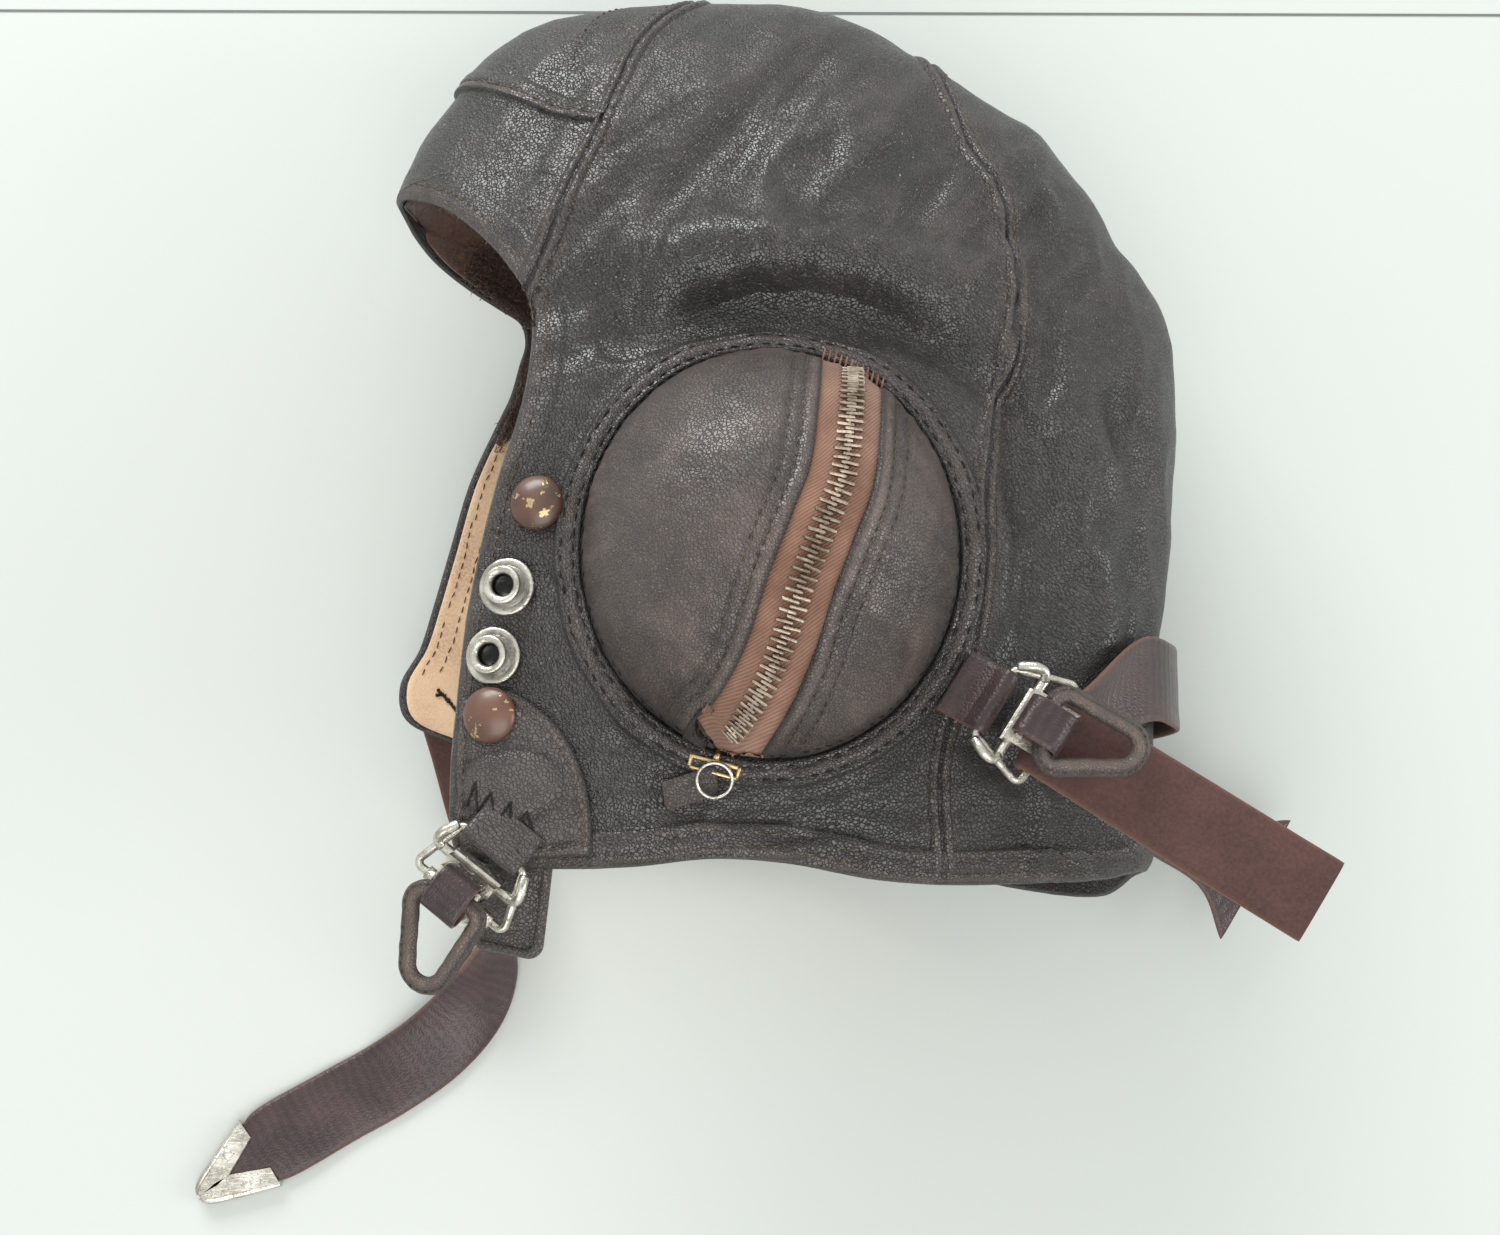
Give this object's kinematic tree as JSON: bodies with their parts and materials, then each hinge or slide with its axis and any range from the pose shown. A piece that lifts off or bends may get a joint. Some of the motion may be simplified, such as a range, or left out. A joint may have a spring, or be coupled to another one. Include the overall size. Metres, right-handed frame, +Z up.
{
  "type": "leather flying helmet",
  "caption": "Close-fitting leather flying helmet lying on its right side, with zipped ear pockets, press studs, a buckled nape strap and a hanging chin strap.",
  "frame": {"origin": "middle of the bounding box's bottom face, on the surface that the helmet lies on", "axes": "+Z up from the surface, out of the left ear pocket; +Y from the neck hem to the crown; the face looks along -X"},
  "size_m": [0.3078, 0.3272, 0.1425],
  "materials": {
    "shell_leather": "brown-black glazed leather, worn smooth",
    "pocket_leather": "matt dark brown leather",
    "strap_leather": "red-brown leather, cross-wrinkled grain",
    "chamois": "cream chamois lining",
    "dark_pile": "mottled reddish brown pile",
    "zip_twill": "terracotta-brown twill tape",
    "aged_brass": "dull aged brass",
    "nickel": "worn nickel plate with pitting",
    "lacquered_cap": "brown lacquer, worn through in spots"
  },
  "bodies": {
    "helmet": {"brow_panel": "shell_leather", "crown_front_panel": "shell_leather", "middle_panel": "shell_leather", "back_panel": "shell_leather", "brow_lining": "dark_pile", "cheek_lining": "chamois", "left_pocket_front": "pocket_leather", "left_pocket_rear": "pocket_leather", "left_zip_tape": "zip_twill", "left_zip_teeth": "aged_brass", "right_pocket_front": "pocket_leather", "right_pocket_rear": "pocket_leather", "right_zip_tape": "zip_twill", "right_zip_teeth": "aged_brass", "left_zip_slider": "aged_brass", "slider_ring": "nickel", "slider_tab": "pocket_leather", "left_snap_cap_upper": "lacquered_cap", "left_stud_upper": "nickel", "left_stud_lower": "nickel", "left_snap_cap_lower": "lacquered_cap", "right_snap_cap_upper": "lacquered_cap", "right_stud_upper": "nickel", "right_stud_lower": "nickel", "right_snap_cap_lower": "lacquered_cap", "chin_patch": "shell_leather", "chin_tab": "strap_leather", "chin_frame": "nickel", "guard_tab": "shell_leather", "chin_strap": "strap_leather", "strap_tip": "nickel", "left_nape_tab": "strap_leather", "left_nape_frame": "nickel", "left_nape_cam": "nickel", "left_nape_loop": "strap_leather", "left_nape_ring": "pocket_leather", "right_nape_tab": "strap_leather", "right_nape_frame": "nickel", "right_nape_cam": "nickel", "right_nape_loop": "strap_leather", "right_nape_ring": "pocket_leather", "nape_strap": "strap_leather"},
    "lever": {"chin_lever": "nickel", "chin_loop": "strap_leather", "chin_ring": "pocket_leather"}
  },
  "joints": [
    {"name": "chin_lever_pivot", "type": "hinge", "parent": "helmet", "child": "lever", "pos_m": [-0.06471, -0.07639, 0.0966], "axis": [-0.7894, 0.6122, -0.0456], "range_deg": [0, 60]}
  ]
}
